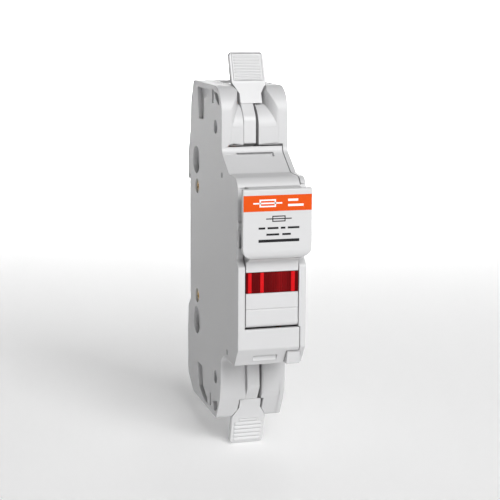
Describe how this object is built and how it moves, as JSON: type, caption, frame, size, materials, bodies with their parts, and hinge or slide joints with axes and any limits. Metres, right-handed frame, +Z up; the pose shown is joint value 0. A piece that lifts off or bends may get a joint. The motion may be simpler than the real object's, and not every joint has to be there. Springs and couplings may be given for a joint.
{
  "type": "tilt-out fuse holder",
  "caption": "Rail-mounted tilt-out holder with a cartridge fuse, a red blown-fuse window and a lever-operated spring terminal at each end.",
  "frame": {"origin": "middle of the flat face that rests on the rail, between the two lips that hook it", "axes": "+Y into the rail, so the front faces -Y; +Z up along the holder's length; +X to the right of someone facing the front"},
  "size_m": [0.0178, 0.0579, 0.1055],
  "materials": {
    "housing_plastic": "light grey moulded thermoplastic, fine satin texture",
    "lever_plastic": "off-white moulded thermoplastic, satin",
    "clip_plastic": "mid grey moulded thermoplastic",
    "label_print": "printed label, orange band over light grey",
    "red_lens": "translucent red, polished",
    "board_green": "solder mask",
    "lamp_red": "clear red lamp",
    "resistor_body": "lacquered",
    "fuse_melamine": "laminated tube",
    "nickel_plate": "nickel plated",
    "brass": "bright rolled brass",
    "copper": "stamped copper",
    "steel": "bright drawn steel"
  },
  "bodies": {
    "housing": {"left_housing_shell": "housing_plastic", "right_housing_cover": "housing_plastic", "rivet_upper": "brass", "rivet_lower": "brass", "rail_clip_spring": "steel", "upper_fuse_clip": "copper", "lower_fuse_clip": "copper", "upper_terminal_bar": "copper", "lower_terminal_bar": "copper", "upper_clamp_spring": "steel", "lower_clamp_spring": "steel", "upper_lever_pin": "steel", "lower_lever_pin": "steel"},
    "carrier": {"fuse_carrier": "housing_plastic", "front_label": "label_print", "indicator_window": "red_lens", "indicator_board": "board_green", "indicator_lamp": "lamp_red", "indicator_resistor": "resistor_body", "indicator_contact_upper": "copper", "indicator_contact_lower": "copper", "carrier_pivot_pin": "steel", "fuse_tube": "fuse_melamine", "fuse_cap_upper": "nickel_plate", "fuse_cap_lower": "nickel_plate", "fuse_element": "copper"},
    "upper_lever_body": {"upper_lever": "lever_plastic"},
    "lower_lever_body": {"lower_lever": "lever_plastic"},
    "upper_cage_body": {"upper_clamp_cage": "steel"},
    "lower_cage_body": {"lower_clamp_cage": "steel"},
    "rail_clip_body": {"rail_clip": "clip_plastic"}
  },
  "joints": [
    {"name": "carrier_tilt", "type": "hinge", "parent": "housing", "child": "carrier", "pos_m": [0, -0.0475, -0.0104], "axis": [1, 0, 0], "range_deg": [0, 80]},
    {"name": "upper_lever_swing", "type": "hinge", "parent": "housing", "child": "upper_lever_body", "pos_m": [0, -0.028, 0.0335], "axis": [1, 0, 0], "range_deg": [0, 85]},
    {"name": "lower_lever_swing", "type": "hinge", "parent": "housing", "child": "lower_lever_body", "pos_m": [0, -0.028, -0.0335], "axis": [-1, 0, 0], "range_deg": [-6, 79]},
    {"name": "upper_cage_slide", "type": "slide", "parent": "housing", "child": "upper_cage_body", "axis": [0, 1, 0], "range_m": [0, 0.0046], "deforming": ["upper_clamp_spring"]},
    {"name": "lower_cage_slide", "type": "slide", "parent": "housing", "child": "lower_cage_body", "axis": [0, 1, 0], "range_m": [-0.00032, 0.00428], "deforming": ["lower_clamp_spring"]},
    {"name": "rail_clip_slide", "type": "slide", "parent": "housing", "child": "rail_clip_body", "axis": [0, 0, -1], "range_m": [0, 0.0025], "stiffness_N_per_m": 300, "deforming": ["rail_clip_spring"]}
  ],
  "couplings": [
    {"joint": "upper_lever_swing", "follows": "upper_cage_slide", "rad_per_m": 322.5},
    {"joint": "lower_lever_swing", "follows": "lower_cage_slide", "rad_per_m": 322.5}
  ]
}
